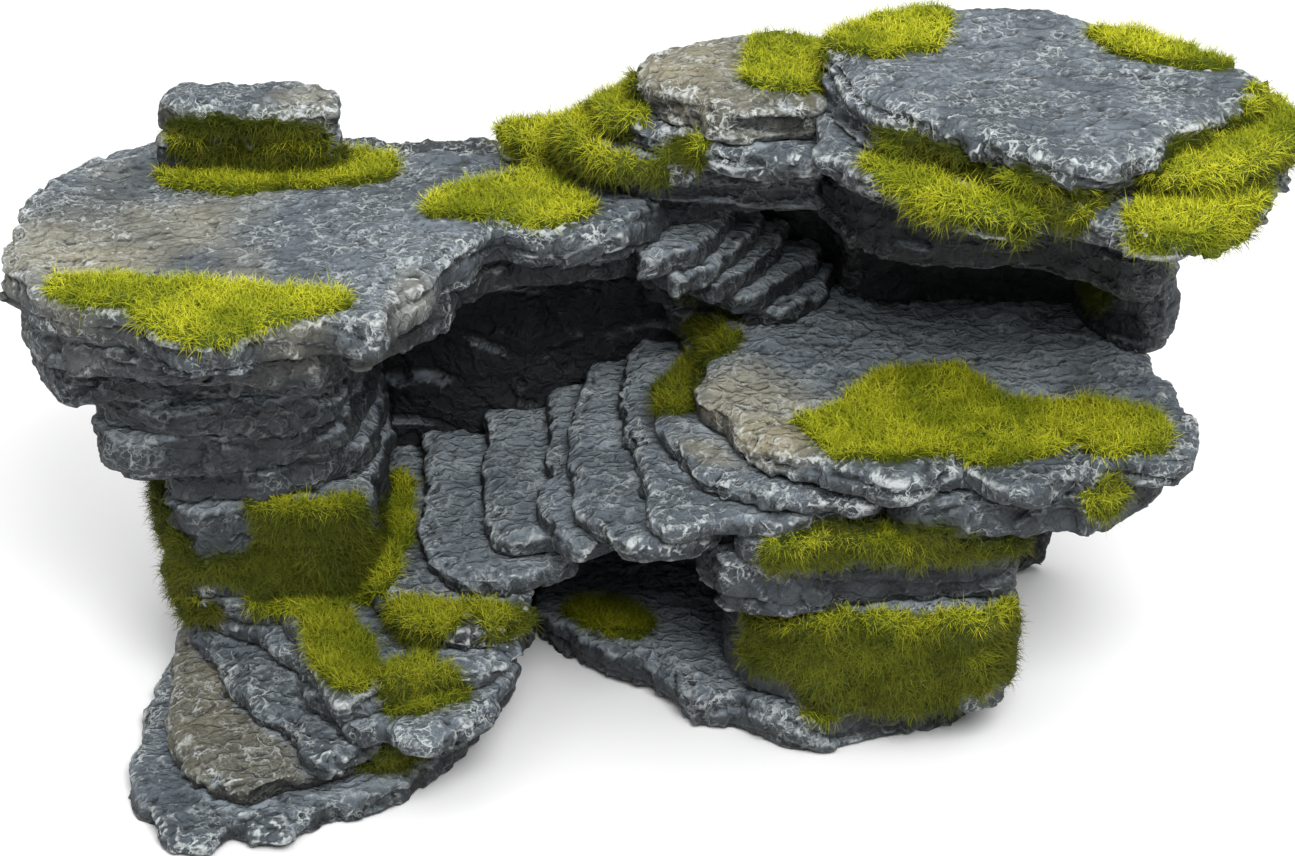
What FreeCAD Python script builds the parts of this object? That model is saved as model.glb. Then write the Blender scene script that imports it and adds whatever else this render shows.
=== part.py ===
"""Resin cave ornament: a terrace of cast slate-look slabs with two caves and flocked moss.

The slabs are stacked and bonded face to face. A fanned foot carries the left pillar and
the corbelled platform, a base plate carries the right tower and the deck, and the treads
of the ramp join the two over the lower cave. The upper stair climbs from the deck to the
platform, and the crown tops the ledges on the right.

Frame: millimetres, +X to the right, +Y to the back, +Z up. The origin is on the resting
plane, under the middle of the ornament's bounding box.
"""
import FreeCAD, Part
import math
import os
import re
import Sketcher

PARTS_FOLDER = "parts"
SHEET_NAME = "Sizes"
PER_CENT = 100.0
TOUCHING = 1e-6
START_RADIUS = 50.0
GROUND = "0 * foot_course"

# Every size that can be set by itself, in millimetres. Names that end in _left, _right,
# _front or _back are plan positions of an edge; the others are heights and clearances.
DIMENSIONS = {
    # clearances and edge treatment
    "joint_gap": 2.0,
    "glue_gap": 0.3,
    "corner_radius": 1.5,
    "rim_bevel": 1.0,
    # shared lines of the plan
    "cave_left": -74.0,
    "cave_back": 82.0,
    "foot_right": -34.0,
    "platform_right": 44.0,
    "tower_front_left": 64.0,
    # left foot: six thin courses that fan forward
    "foot_course": 7.0,
    "foot_1_left": -134.0,
    "foot_1_front": -56.0,
    "foot_2_left": -128.0,
    "foot_2_front": -46.0,
    "foot_3_left": -124.0,
    "foot_3_front": -44.0,
    "foot_4_left": -126.0,
    "foot_4_front": -41.0,
    "foot_5_left": -130.0,
    "foot_5_front": -35.0,
    "foot_6_right": -30.0,
    "foot_6_front": -15.0,
    # pillar and the corbels that step outwards under the platform
    "pillar_height": 30.0,
    "pillar_left": -131.0,
    "pillar_front": 10.0,
    "corbel_1_left": -128.0,
    "corbel_1_front": 12.0,
    "corbel_2_left": -144.0,
    "corbel_2_front": 1.0,
    "corbel_3_left": -142.0,
    "corbel_3_front": 0.0,
    "corbel_4_left": -157.0,
    "corbel_4_front": -5.0,
    "corbel_5_left": -158.0,
    "corbel_5_front": -20.0,
    # platform, cave roof and cave back
    "platform_thickness": 12.0,
    "platform_left": -160.0,
    "platform_front": -38.0,
    "roof_thickness": 12.0,
    "roof_front": -12.0,
    "back_wall_left": -104.0,
    "back_wall_right": 118.0,
    "back_wall_thickness": 12.0,
    "back_wall_lap": 4.0,
    # ramp treads, counted from the left
    "tread_rise": 7.0,
    "tread_overlap": 12.0,
    "tread_1_left": -62.0,
    "tread_1_front": 0.0,
    "tread_2_left": -46.0,
    "tread_2_front": 11.0,
    "tread_3_left": -28.0,
    "tread_3_front": -3.0,
    "tread_4_left": -21.0,
    "tread_4_front": -14.0,
    "tread_5_left": -9.0,
    "tread_5_front": -15.0,
    "tread_6_left": 2.0,
    "tread_6_front": -17.0,
    # deck
    "deck_thickness": 9.0,
    "deck_left": 4.0,
    "deck_right": 140.0,
    "deck_front": -21.0,
    # upper stair, counted from the deck
    "stair_rise": 7.0,
    "stair_left": -2.0,
    "stair_1_right": 52.0,
    "stair_1_front": 56.0,
    "stair_2_right": 46.0,
    "stair_2_front": 50.0,
    "stair_3_right": 38.0,
    "stair_3_front": 41.0,
    "stair_4_right": 30.0,
    "stair_4_front": 30.0,
    "stair_5_right": 22.0,
    "stair_5_front": 23.0,
    # right tower on its base plate
    "base_plate_thickness": 12.0,
    "base_plate_right": 92.0,
    "base_plate_front": -9.0,
    "tower_1_left": 20.0,
    "tower_1_right": 97.0,
    "tower_1_front": -8.0,
    "tower_2_height": 17.0,
    "tower_2_left": 14.0,
    "tower_2_front": -10.0,
    "tower_3_left": 22.0,
    "tower_3_right": 104.0,
    "tower_3_front": -15.0,
    "tower_4_right": 136.0,
    "tower_4_front": -14.0,
    # recess over the deck and the crown above it
    "recess_wall_right": 122.0,
    "recess_wall_depth": 12.0,
    "ledge_corbel_height": 35.0,
    "ledge_corbel_right": 130.0,
    "ledge_corbel_front": 6.0,
    "step_rise": 8.0,
    "step_1_left": -38.0,
    "step_1_front": 34.0,
    "step_2_left": -23.0,
    "step_2_front": 28.0,
    "step_3_left": -12.0,
    "step_3_front": 16.0,
    "step_back": 78.0,
    "shoulder_thickness": 11.0,
    "shoulder_left": 0.0,
    "shoulder_front": 20.0,
    "shoulder_back": 66.0,
    "ledge_lower_thickness": 8.0,
    "ledge_lower_right": 155.0,
    "ledge_lower_front": -38.0,
    "ledge_upper_thickness": 7.0,
    "ledge_upper_right": 158.0,
    "ledge_upper_front": -31.0,
    "crown_thickness": 8.0,
    "crown_right": 148.0,
    "crown_front": -33.0,
    "crown_back": 60.0,
    # small stack on the platform and the rock at the deck's right rear
    "stack_left": -128.0,
    "stack_right": -80.0,
    "stack_front": 55.0,
    "stack_1_depth": 20.0,
    "stack_2_depth": 17.0,
    "stack_1_height": 11.0,
    "stack_2_height": 10.0,
    "rear_rock_left": 116.0,
    "rear_rock_width": 23.0,
    "rear_rock_front": 44.0,
    "rear_rock_depth": 25.0,
    "rear_rock_height": 22.0,
    # flocked moss
    "moss_depth": 3.0,
    "moss_roll": 6.0,
    "middle_moss_reach": 18.0,
    "middle_moss_width": 40.8,
    "middle_moss_length": 24.0,
    "mouth_moss_front": 26.0,
    "mouth_moss_width": 10.0,
    "mouth_moss_length": 32.0,
}

# Levels, as sums of the heights above.
FOOT_TOP = "6 * foot_course"
PILLAR_BOTTOM = "5 * foot_course"
PILLAR_TOP = f"({PILLAR_BOTTOM} + pillar_height)"
DECK_BOTTOM = f"({FOOT_TOP} + 6 * tread_rise)"
DECK_TOP = f"({DECK_BOTTOM} + deck_thickness)"
PLATFORM_BOTTOM = f"({DECK_TOP} + 5 * stair_rise)"
PLATFORM_TOP = f"({PLATFORM_BOTTOM} + platform_thickness)"
CORBEL_RISE = f"(({PLATFORM_BOTTOM} - {PILLAR_TOP}) / 5)"
TOWER_3_TOP = f"({FOOT_TOP} + 4 * tread_rise)"
TOWER_3_HEIGHT = "(tread_rise + joint_gap)"
TOWER_3_BOTTOM = f"({TOWER_3_TOP} - {TOWER_3_HEIGHT})"
TOWER_2_BOTTOM = f"({TOWER_3_BOTTOM} - tower_2_height)"
TOWER_1_HEIGHT = f"({TOWER_2_BOTTOM} - base_plate_thickness)"
LEDGE_BOTTOM = f"({PLATFORM_BOTTOM} + ledge_corbel_height)"
LEDGE_UPPER_BOTTOM = f"({LEDGE_BOTTOM} + ledge_lower_thickness)"
CROWN_BOTTOM = f"({LEDGE_UPPER_BOTTOM} + ledge_upper_thickness)"
CROWN_TOP = f"({CROWN_BOTTOM} + crown_thickness)"
SHOULDER_BOTTOM = f"({PLATFORM_TOP} + 3 * step_rise)"

# The ornament's middle in plan, which becomes the origin.
MIDDLE_X = "(platform_left + ledge_upper_right) / 2"
MIDDLE_Y = "(foot_1_front + cave_back + back_wall_thickness) / 2"

doc = FreeCAD.newDocument("CaveOrnament")
plans = {}


def make_sheet():
    """Write every dimension as a plain number with its alias."""
    sheet = doc.addObject("Spreadsheet::Sheet", SHEET_NAME)
    for row, (alias, value) in enumerate(DIMENSIONS.items(), start=1):
        sheet.set(f"A{row}", alias)
        sheet.set(f"B{row}", str(value))
        sheet.setAlias(f"B{row}", alias)
    doc.recompute()


def bound(formula):
    """Turn a formula of dimension names into an expression on the sheet."""
    return re.sub(r"[a-z][a-z_0-9]*", lambda name: f"{SHEET_NAME}.{name.group()}", formula)


def plane_of(body, role):
    """Find one of the body's own origin planes by its role."""
    return next(plane for plane in body.Origin.OriginFeatures if plane.Role == role)


def polygon_sketch(body, corners):
    """Draw a closed polygon whose corners, pairs of formulas, are bound to the sheet.

    The corners start out on a circle, and the bound distances then move every one of them.
    """
    sketch = body.newObject("Sketcher::SketchObject", f"{body.Name}_outline")
    sketch.AttachmentSupport = [(plane_of(body, "XY_Plane"), "")]
    sketch.MapMode = "FlatFace"
    count = len(corners)
    turns = [2 * math.pi * index / count for index in range(count)]
    start = [FreeCAD.Vector(math.cos(turn), math.sin(turn)) * START_RADIUS for turn in turns]
    for index in range(count):
        sketch.addGeometry(Part.LineSegment(start[index], start[(index + 1) % count]))
    for index in range(count):
        sketch.addConstraint(Sketcher.Constraint("Coincident", index, 2, (index + 1) % count, 1))
    for index, corner in enumerate(corners):
        for kind, formula, now in zip(("DistanceX", "DistanceY"), corner, start[index]):
            number = sketch.addConstraint(Sketcher.Constraint(kind, -1, 1, index, 1, now))
            sketch.setExpression(f"Constraints[{number}]", bound(formula))
    return sketch


def pad_up(body, sketch, height):
    """Extrude the outline upwards by a formula."""
    pad = body.newObject("PartDesign::Pad", f"{body.Name}_pad")
    pad.Profile = sketch
    pad.setExpression("Length", bound(height))
    doc.recompute()
    return pad


def is_upright(edge):
    """An upright edge runs straight up one corner of the outline."""
    ends = [vertex.Point for vertex in edge.Vertexes]
    return len(ends) == 2 and abs(ends[0].x - ends[1].x) + abs(ends[0].y - ends[1].y) < TOUCHING


def is_top_rim(edge, shape):
    """A top rim edge lies all along the upper face."""
    return shape.BoundBox.ZMax - edge.BoundBox.ZMin < TOUCHING


def round_corners(body, pad):
    """Round the slab's upright corners."""
    corners = [f"Edge{i}" for i, edge in enumerate(pad.Shape.Edges, start=1) if is_upright(edge)]
    fillet = body.newObject("PartDesign::Fillet", f"{body.Name}_corners")
    fillet.Base = (pad, corners)
    fillet.setExpression("Radius", bound("corner_radius"))
    doc.recompute()
    return fillet


def bevel_rim(body, feature):
    """Break the edge all round the slab's top face."""
    shape = feature.Shape
    rim = [f"Edge{i}" for i, edge in enumerate(shape.Edges, start=1) if is_top_rim(edge, shape)]
    bevel = body.newObject("PartDesign::Chamfer", f"{body.Name}_rim")
    bevel.Base = (feature, rim)
    bevel.setExpression("Size", bound("rim_bevel"))
    doc.recompute()
    return bevel


def place(body, left, front, bottom):
    """Put the body's own corner at a plan position and a level."""
    body.setExpression("Placement.Base.x", bound(f"{left} - {MIDDLE_X}"))
    body.setExpression("Placement.Base.y", bound(f"{front} - {MIDDLE_Y}"))
    body.setExpression("Placement.Base.z", bound(bottom))


def new_body(label):
    """Start a sub-part."""
    body = doc.addObject("PartDesign::Body", label)
    body.Label = label
    return body


def corners_of(plan, outline):
    """Turn per cent of the plan's width and depth into formulas from its near left corner."""
    left, right, front, back = plan
    return [
        (f"({right} - ({left})) * {x / PER_CENT}", f"({back} - ({front})) * {y / PER_CENT}")
        for x, y in outline
    ]


def slab(label, plan, bottom, height, outline):
    """One cast slab: plan is (left, right, front, back), outline is in per cent of it."""
    plans[label] = (plan, outline)
    body = new_body(label)
    pad = pad_up(body, polygon_sketch(body, corners_of(plan, outline)), height)
    bevel_rim(body, round_corners(body, pad))
    place(body, plan[0], plan[2], bottom)
    return body


def moss_mat(label, plan, bottom, outline):
    """A patch of flock lying on a slab's top."""
    body = new_body(label)
    pad = pad_up(body, polygon_sketch(body, corners_of(plan, outline)), "moss_depth")
    round_corners(body, pad)
    place(body, plan[0], plan[2], bottom)
    return body


def moss_skin(label, slab_label, first, last, bottom, height, depth):
    """A patch of flock on a slab's front face, between two corners of its outline."""
    plan, outline = plans[slab_label]
    face = corners_of(plan, outline[first:last + 1])
    near = [(x, f"{y} - glue_gap - {depth}") for x, y in face]
    far = [(x, f"{y} - glue_gap") for x, y in reversed(face)]
    body = new_body(label)
    pad_up(body, polygon_sketch(body, near + far), height)
    place(body, plan[0], plan[2], bottom)
    return body


def left_foot():
    """Six courses that fan out to the front left."""
    slab("foot_course_1", ("foot_1_left", "foot_right", "foot_1_front", "cave_back"),
         GROUND, "foot_course",
         [(0, 26), (3, 13), (10, 3), (22, 0), (27, 5), (34, 2), (43, 3), (52, 10), (72, 17),
          (84, 32), (94, 51), (100, 70), (98, 100), (12, 100), (4, 70)])
    slab("foot_course_2", ("foot_2_left", "foot_right", "foot_2_front", "cave_back"),
         "foot_course", "foot_course",
         [(0, 38), (4, 25), (10, 11), (17, 4), (27, 0), (38, 6), (57, 14), (74, 17),
          (87, 30), (96, 48), (100, 100), (6, 100), (1, 67)])
    slab("foot_course_3", ("foot_3_left", "foot_right", "foot_3_front", "cave_back"),
         "2 * foot_course", "foot_course",
         [(0, 52), (12, 43), (17, 32), (23, 23), (37, 14), (40, 5), (47, 0), (53, 5),
          (64, 11), (78, 14), (89, 29), (98, 48), (100, 100), (4, 100)])
    slab("foot_course_4", ("foot_4_left", "foot_right", "foot_4_front", "cave_back"),
         "3 * foot_course", "foot_course",
         [(0, 54), (23, 43), (37, 30), (43, 18), (51, 9), (59, 2), (65, 6), (71, 0),
          (78, 0), (90, 8), (94, 17), (98, 41), (100, 100), (4, 100)])
    slab("foot_course_5", ("foot_5_left", "foot_right", "foot_5_front", "cave_back"),
         "4 * foot_course", "foot_course",
         [(0, 56), (6, 42), (35, 39), (41, 28), (44, 17), (50, 7), (56, 0), (65, 3),
          (73, 8), (88, 12), (98, 21), (100, 47), (100, 100), (4, 100)])
    slab("foot_course_6", ("(cave_left + joint_gap)", "foot_6_right", "foot_6_front", "cave_back"),
         "5 * foot_course", "foot_course",
         [(0, 67), (5, 36), (12, 15), (21, 7), (38, 2), (62, 0), (83, 6), (98, 18),
          (100, 46), (98, 100), (0, 100)])


def left_pillar():
    """The block that stands on the foot."""
    slab("pillar", ("pillar_left", "cave_left", "pillar_front", "cave_back"),
         PILLAR_BOTTOM, "pillar_height",
         [(0, 50), (5, 11), (23, 3), (54, 4), (79, 0), (96, 7), (100, 19), (100, 100), (12, 100)])


def corbels():
    """Five slabs that share the height between the pillar and the platform."""
    outlines = (
        [(0, 9), (7, 0), (30, 3), (56, 0), (81, 9), (94, 20), (100, 31), (100, 100), (7, 100)],
        [(0, 16), (6, 5), (20, 0), (36, 2), (54, 5), (77, 10), (94, 21), (100, 36),
         (100, 100), (9, 98), (0, 48)],
        [(4, 7), (24, 2), (44, 0), (71, 0), (85, 5), (94, 15), (100, 32), (100, 100),
         (6, 98), (0, 49)],
        [(1, 21), (7, 8), (13, 1), (27, 0), (42, 5), (69, 5), (90, 6), (97, 15), (100, 29),
         (100, 100), (13, 93), (0, 56)],
        [(2, 24), (8, 12), (25, 6), (49, 0), (71, 3), (93, 0), (98, 8), (100, 29),
         (100, 100), (14, 94), (0, 59)],
    )
    for number, outline in enumerate(outlines, start=1):
        slab(f"corbel_{number}",
             (f"corbel_{number}_left", "cave_left", f"corbel_{number}_front", "cave_back"),
             f"{PILLAR_TOP} + {number - 1} * {CORBEL_RISE}", CORBEL_RISE, outline)


def platform():
    """The long top slab on the left, scooped out at the front over the ramp."""
    slab("platform", ("platform_left", "platform_right", "platform_front", "cave_back"),
         PLATFORM_BOTTOM, "platform_thickness",
         [(0, 38), (4, 22), (10, 17), (17, 15), (22, 4), (27, 0), (31, 4), (33, 12), (41, 13),
          (48, 8), (49, 20), (52, 30), (56, 42), (59, 52), (65, 49), (75, 50), (78, 58),
          (81, 73), (98, 78), (100, 87), (99, 100), (75, 95), (72, 89), (59, 90), (44, 90),
          (33, 96), (16, 97), (7, 87), (2, 75), (0, 59)])


def caves():
    """The slab that roofs the upper cave, and the wall behind both caves, the ramp and the deck.

    The wall stands behind all of them and laps up behind the platform, so that no light gets in.
    """
    slab("cave_roof", ("(cave_left + joint_gap)", "(stair_left - joint_gap)", "roof_front", "cave_back"),
         f"{PLATFORM_BOTTOM} - roof_thickness", "roof_thickness",
         [(0, 0), (9, 7), (22, 14), (31, 22), (34, 34), (43, 43), (53, 49), (72, 50),
          (88, 53), (100, 60), (100, 100), (0, 100)])
    slab("back_wall", ("back_wall_left", "back_wall_right",
                       "cave_back", "(cave_back + back_wall_thickness)"),
         GROUND, f"{PLATFORM_BOTTOM} + back_wall_lap",
         [(0, 0), (100, 0), (98, 55), (88, 88), (70, 76), (52, 100), (30, 90), (12, 100), (3, 60)])


def ramp():
    """Six treads that climb to the right; each runs on under the ones above it."""
    tower_side = "(tower_front_left - joint_gap)"
    rights = (
        "(tread_3_left + tread_overlap)",
        "(tread_4_left + tread_overlap)",
        "(tower_2_left - joint_gap)",
        "(tower_3_left - joint_gap)",
        tower_side,
        tower_side,
    )
    outlines = (
        [(0, 52), (2, 37), (11, 24), (17, 11), (28, 1), (50, 0), (74, 10), (94, 15), (100, 49),
         (100, 100), (0, 100)],
        [(0, 55), (7, 28), (13, 14), (18, 3), (31, 0), (58, 4), (93, 7), (100, 18),
         (100, 100), (0, 100)],
        [(0, 72), (2, 42), (0, 25), (8, 7), (25, 0), (55, 6), (90, 8), (100, 15),
         (100, 100), (5, 100)],
        [(0, 75), (0, 55), (3, 33), (12, 15), (27, 5), (49, 0), (73, 2), (92, 8),
         (100, 19), (100, 100), (12, 100)],
        [(0, 77), (1, 62), (10, 39), (11, 19), (14, 6), (21, 0), (38, 3), (61, 2),
         (75, 6), (92, 3), (100, 11), (100, 100), (7, 100)],
        [(12, 78), (0, 60), (3, 40), (13, 23), (23, 12), (43, 6), (73, 4), (91, 0),
         (100, 9), (100, 100), (10, 100)],
    )
    for number, (right, outline) in enumerate(zip(rights, outlines), start=1):
        slab(f"ramp_tread_{number}",
             (f"tread_{number}_left", right, f"tread_{number}_front", "cave_back"),
             f"{FOOT_TOP} + {number - 1} * tread_rise", "tread_rise", outline)


def deck():
    """The broad landing at the top of the ramp."""
    slab("deck", ("deck_left", "deck_right", "deck_front", "cave_back"),
         DECK_BOTTOM, "deck_thickness",
         [(0, 90), (9, 83), (10, 67), (7, 50), (8, 38), (13, 28), (15, 20), (20, 15), (28, 13),
          (35, 6), (41, 2), (50, 5), (55, 10), (62, 3), (68, 0), (74, 6), (85, 12), (96, 12),
          (99, 19), (100, 29), (96, 46), (91, 69), (85, 100), (0, 100)])


def upper_stair():
    """Five curved steps from the deck up to the platform."""
    outlines = (
        [(0, 69), (30, 46), (56, 4), (70, 0), (81, 15), (93, 42), (100, 100), (0, 100)],
        [(0, 56), (25, 38), (56, 0), (71, 9), (88, 41), (98, 72), (100, 100), (0, 100)],
        [(0, 51), (25, 27), (50, 0), (65, 15), (85, 39), (98, 68), (100, 100), (0, 100)],
        [(0, 46), (12, 23), (31, 0), (53, 15), (78, 37), (94, 62), (100, 100), (0, 100)],
        [(0, 0), (25, 12), (62, 22), (92, 49), (100, 61), (100, 100), (0, 100)],
    )
    for number, outline in enumerate(outlines, start=1):
        slab(f"stair_step_{number}",
             ("stair_left", f"stair_{number}_right", f"stair_{number}_front", "cave_back"),
             f"{DECK_TOP} + {number - 1} * stair_rise", "stair_rise", outline)


def right_tower():
    """The base plate and four courses; the third ends under the ramp's fifth tread."""
    slab("base_plate", ("(foot_right + joint_gap)", "base_plate_right", "base_plate_front", "cave_back"),
         GROUND, "base_plate_thickness",
         [(0, 60), (5, 52), (15, 44), (27, 33), (33, 24), (37, 16), (46, 13), (55, 1), (60, 0),
          (65, 1), (71, 7), (81, 12), (94, 19), (98, 43), (100, 100), (0, 100)])
    slab("tower_course_1", ("tower_1_left", "tower_1_right", "tower_1_front", "cave_back"),
         "base_plate_thickness", TOWER_1_HEIGHT,
         [(3, 53), (4, 20), (10, 11), (26, 1), (52, 0), (71, 1), (88, 0), (97, 9), (100, 38),
          (99, 100), (0, 100)])
    slab("tower_course_2", ("tower_2_left", "tower_1_right", "tower_2_front", "cave_back"),
         TOWER_2_BOTTOM, "tower_2_height",
         [(2, 54), (0, 17), (6, 2), (28, 0), (49, 4), (75, 7), (95, 11), (100, 24), (99, 100),
          (5, 100)])
    slab("tower_course_3", ("tower_3_left", "tower_3_right", "tower_3_front", "cave_back"),
         TOWER_3_BOTTOM, TOWER_3_HEIGHT,
         [(0, 46), (2, 8), (11, 0), (37, 2), (54, 2), (71, 6), (90, 11), (98, 21), (100, 46),
          (95, 100), (0, 100)])
    slab("tower_course_4", ("tower_front_left", "tower_4_right", "tower_4_front", "cave_back"),
         TOWER_3_TOP, f"{DECK_BOTTOM} - {TOWER_3_TOP}",
         [(0, 6), (6, 1), (28, 0), (46, 3), (57, 6), (65, 2), (76, 5), (86, 15), (97, 23),
          (100, 42), (81, 77), (67, 100), (0, 100)])


def recess():
    """The wall at the back of the deck and the corbel that carries the ledges over it."""
    slab("recess_wall", ("(stair_1_right + joint_gap)", "recess_wall_right",
                         "(cave_back - recess_wall_depth)", "cave_back"),
         DECK_TOP, f"{PLATFORM_BOTTOM} - {DECK_TOP}",
         [(0, 0), (50, 17), (97, 0), (100, 100), (0, 100)])
    slab("ledge_corbel", ("(platform_right + glue_gap)", "ledge_corbel_right",
                          "ledge_corbel_front", "cave_back"),
         PLATFORM_BOTTOM, "ledge_corbel_height",
         [(0, 59), (9, 41), (21, 29), (40, 24), (62, 22), (81, 10), (90, 0), (97, 2), (100, 16),
          (96, 57), (83, 98), (60, 100), (0, 100)])


def top_steps():
    """Three steps from the platform up to the shoulder slab beside the crown."""
    outlines = (
        [(0, 66), (10, 55), (33, 30), (50, 14), (62, 7), (77, 0), (100, 2), (100, 100),
         (37, 100), (20, 91), (10, 84), (4, 82)],
        [(0, 52), (7, 24), (21, 6), (39, 2), (64, 0), (100, 4), (100, 100), (34, 100),
         (19, 76), (7, 66)],
        [(0, 60), (4, 43), (18, 27), (41, 18), (62, 0), (100, 3), (100, 100), (46, 100),
         (25, 87), (7, 75)],
    )
    for number, outline in enumerate(outlines, start=1):
        slab(f"top_step_{number}",
             (f"step_{number}_left", "platform_right", f"step_{number}_front", "step_back"),
             f"{PLATFORM_TOP} + {number - 1} * step_rise", "step_rise", outline)
    slab("shoulder", ("shoulder_left", "platform_right", "shoulder_front", "shoulder_back"),
         SHOULDER_BOTTOM, "shoulder_thickness",
         [(0, 65), (2, 43), (11, 26), (27, 17), (39, 4), (57, 0), (77, 13), (100, 17), (100, 96),
          (68, 100), (27, 96), (7, 83)])


def crown():
    """Two ledges and the broad crown slab on top of them."""
    crown_left = "(platform_right + glue_gap)"
    slab("ledge_lower", (crown_left, "ledge_lower_right", "ledge_lower_front", "crown_back"),
         LEDGE_BOTTOM, "ledge_lower_thickness",
         [(1, 47), (6, 35), (11, 28), (19, 18), (27, 12), (35, 7), (42, 5), (50, 10), (58, 5),
          (65, 0), (72, 0), (83, 8), (90, 17), (96, 33), (100, 49), (99, 69), (81, 94),
          (46, 100), (13, 90), (0, 69)])
    slab("ledge_upper", (crown_left, "ledge_upper_right", "ledge_upper_front", "crown_back"),
         LEDGE_UPPER_BOTTOM, "ledge_upper_thickness",
         [(5, 48), (9, 34), (15, 26), (26, 18), (36, 9), (44, 2), (50, 0), (57, 3), (64, 10),
          (75, 10), (87, 14), (95, 26), (100, 41), (98, 59), (82, 83), (51, 100), (23, 99),
          (3, 83), (0, 66)])
    slab("crown", (crown_left, "crown_right", "crown_front", "crown_back"),
         CROWN_BOTTOM, "crown_thickness",
         [(4, 59), (7, 46), (11, 38), (16, 29), (25, 20), (34, 12), (45, 6), (54, 0), (63, 1),
          (69, 8), (75, 19), (82, 25), (86, 33), (96, 41), (100, 51), (96, 63), (90, 75),
          (78, 81), (66, 90), (56, 98), (47, 100), (27, 100), (20, 95), (10, 89), (0, 81)])


def loose_rocks():
    """The two-piece stack on the platform and the rock at the deck's right rear."""
    slab("small_stack_1", ("stack_left", "stack_right", "stack_front", "(stack_front + stack_1_depth)"),
         PLATFORM_TOP, "stack_1_height",
         [(0, 20), (12, 5), (50, 0), (88, 5), (100, 25), (96, 90), (58, 100), (12, 95)])
    slab("small_stack_2", ("stack_left", "stack_right", "stack_front", "(stack_front + stack_2_depth)"),
         f"{PLATFORM_TOP} + stack_1_height", "stack_2_height",
         [(0, 24), (16, 6), (49, 0), (78, 6), (98, 6), (100, 41), (90, 76), (53, 100), (20, 88),
          (2, 59)])
    slab("rear_rock", ("rear_rock_left", "(rear_rock_left + rear_rock_width)",
                       "rear_rock_front", "(rear_rock_front + rear_rock_depth)"),
         DECK_TOP, "rear_rock_height",
         [(4, 60), (17, 20), (65, 0), (87, 13), (100, 47), (91, 80), (57, 100), (0, 93)])


def moss():
    """Sixteen patches of flock, each glued to the slab under or behind it."""
    on_platform = ("platform_left", "platform_right", "platform_front", "cave_back")
    moss_mat("moss_platform_front", on_platform, PLATFORM_TOP,
             [(6, 24), (12, 18), (17, 17), (22, 5), (27, 2), (31, 8), (36, 14), (42, 17), (42, 20),
              (25, 23), (12, 26)])
    moss_mat("moss_platform_middle",
             ("(step_1_left - middle_moss_reach)",
              "(step_1_left - middle_moss_reach + middle_moss_width)",
              "(step_1_front - middle_moss_reach / 2)",
              "(step_1_front - middle_moss_reach / 2 + middle_moss_length)"), PLATFORM_TOP,
             [(0, 15), (44, 10), (83, 0), (100, 25), (94, 65), (78, 100), (50, 100), (15, 65)])
    moss_skin("moss_small_stack", "small_stack_1", 1, 3, PLATFORM_TOP, "stack_1_height", "moss_roll")
    moss_skin("moss_top_steps", "top_step_2", 0, 3, f"{PLATFORM_TOP} + step_rise", "step_rise",
              "moss_depth")
    on_shoulder = ("shoulder_left", "platform_right", "shoulder_front", "shoulder_back")
    moss_mat("moss_shoulder", on_shoulder, f"{SHOULDER_BOTTOM} + shoulder_thickness",
             [(60, 30), (96, 22), (96, 78), (64, 84)])
    on_crown = ("(platform_right + glue_gap)", "crown_right", "crown_front", "crown_back")
    moss_mat("moss_crown_left", on_crown, CROWN_TOP,
             [(4, 72), (12, 66), (26, 72), (30, 92), (22, 94), (6, 82)])
    moss_mat("moss_crown_right", on_crown, CROWN_TOP,
             [(65, 84), (70, 68), (82, 59), (94, 55), (94, 65), (88, 74), (76, 80)])
    moss_skin("moss_ledge_left", "ledge_upper", 1, 6, LEDGE_UPPER_BOTTOM, "ledge_upper_thickness",
              "moss_depth")
    moss_skin("moss_ledge_right", "ledge_upper", 8, 12, LEDGE_UPPER_BOTTOM, "ledge_upper_thickness",
              "moss_roll")
    moss_mat("moss_cave_mouth", ("tread_6_left", "(tread_6_left + mouth_moss_width)",
                                 "mouth_moss_front", "(mouth_moss_front + mouth_moss_length)"),
             DECK_BOTTOM, [(10, 60), (30, 0), (100, 10), (100, 60), (90, 100), (50, 100)])
    on_deck = ("deck_left", "deck_right", "deck_front", "cave_back")
    moss_mat("moss_deck", on_deck, DECK_TOP,
             [(26, 27), (35, 32), (43, 50), (57, 51), (64, 35), (70, 35), (81, 37), (92, 32),
              (95, 15), (88, 14), (80, 14), (70, 15), (62, 8), (54, 14), (43, 7), (32, 12)])
    moss_skin("moss_under_deck", "tower_course_3", 2, 6, TOWER_3_BOTTOM, TOWER_3_HEIGHT,
              "moss_depth")
    moss_skin("moss_tower_front", "tower_course_1", 2, 7, "base_plate_thickness", TOWER_1_HEIGHT,
              "moss_depth")
    on_base = ("(foot_right + joint_gap)", "base_plate_right", "base_plate_front", "cave_back")
    moss_mat("moss_base_plate", on_base, "base_plate_thickness",
             [(8, 56), (17, 47), (24, 42), (26, 50), (20, 58), (12, 60)])
    moss_skin("moss_pillar", "pillar", 1, 5, PILLAR_BOTTOM, "pillar_height", "moss_depth")
    before_pillar = ("foot_5_left", "foot_right", "foot_5_front", "(pillar_front - joint_gap)")
    moss_mat("moss_foot", before_pillar, PILLAR_BOTTOM,
             [(42, 92), (47, 46), (52, 22), (57, 11), (62, 27), (58, 65), (50, 97)])


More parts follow.
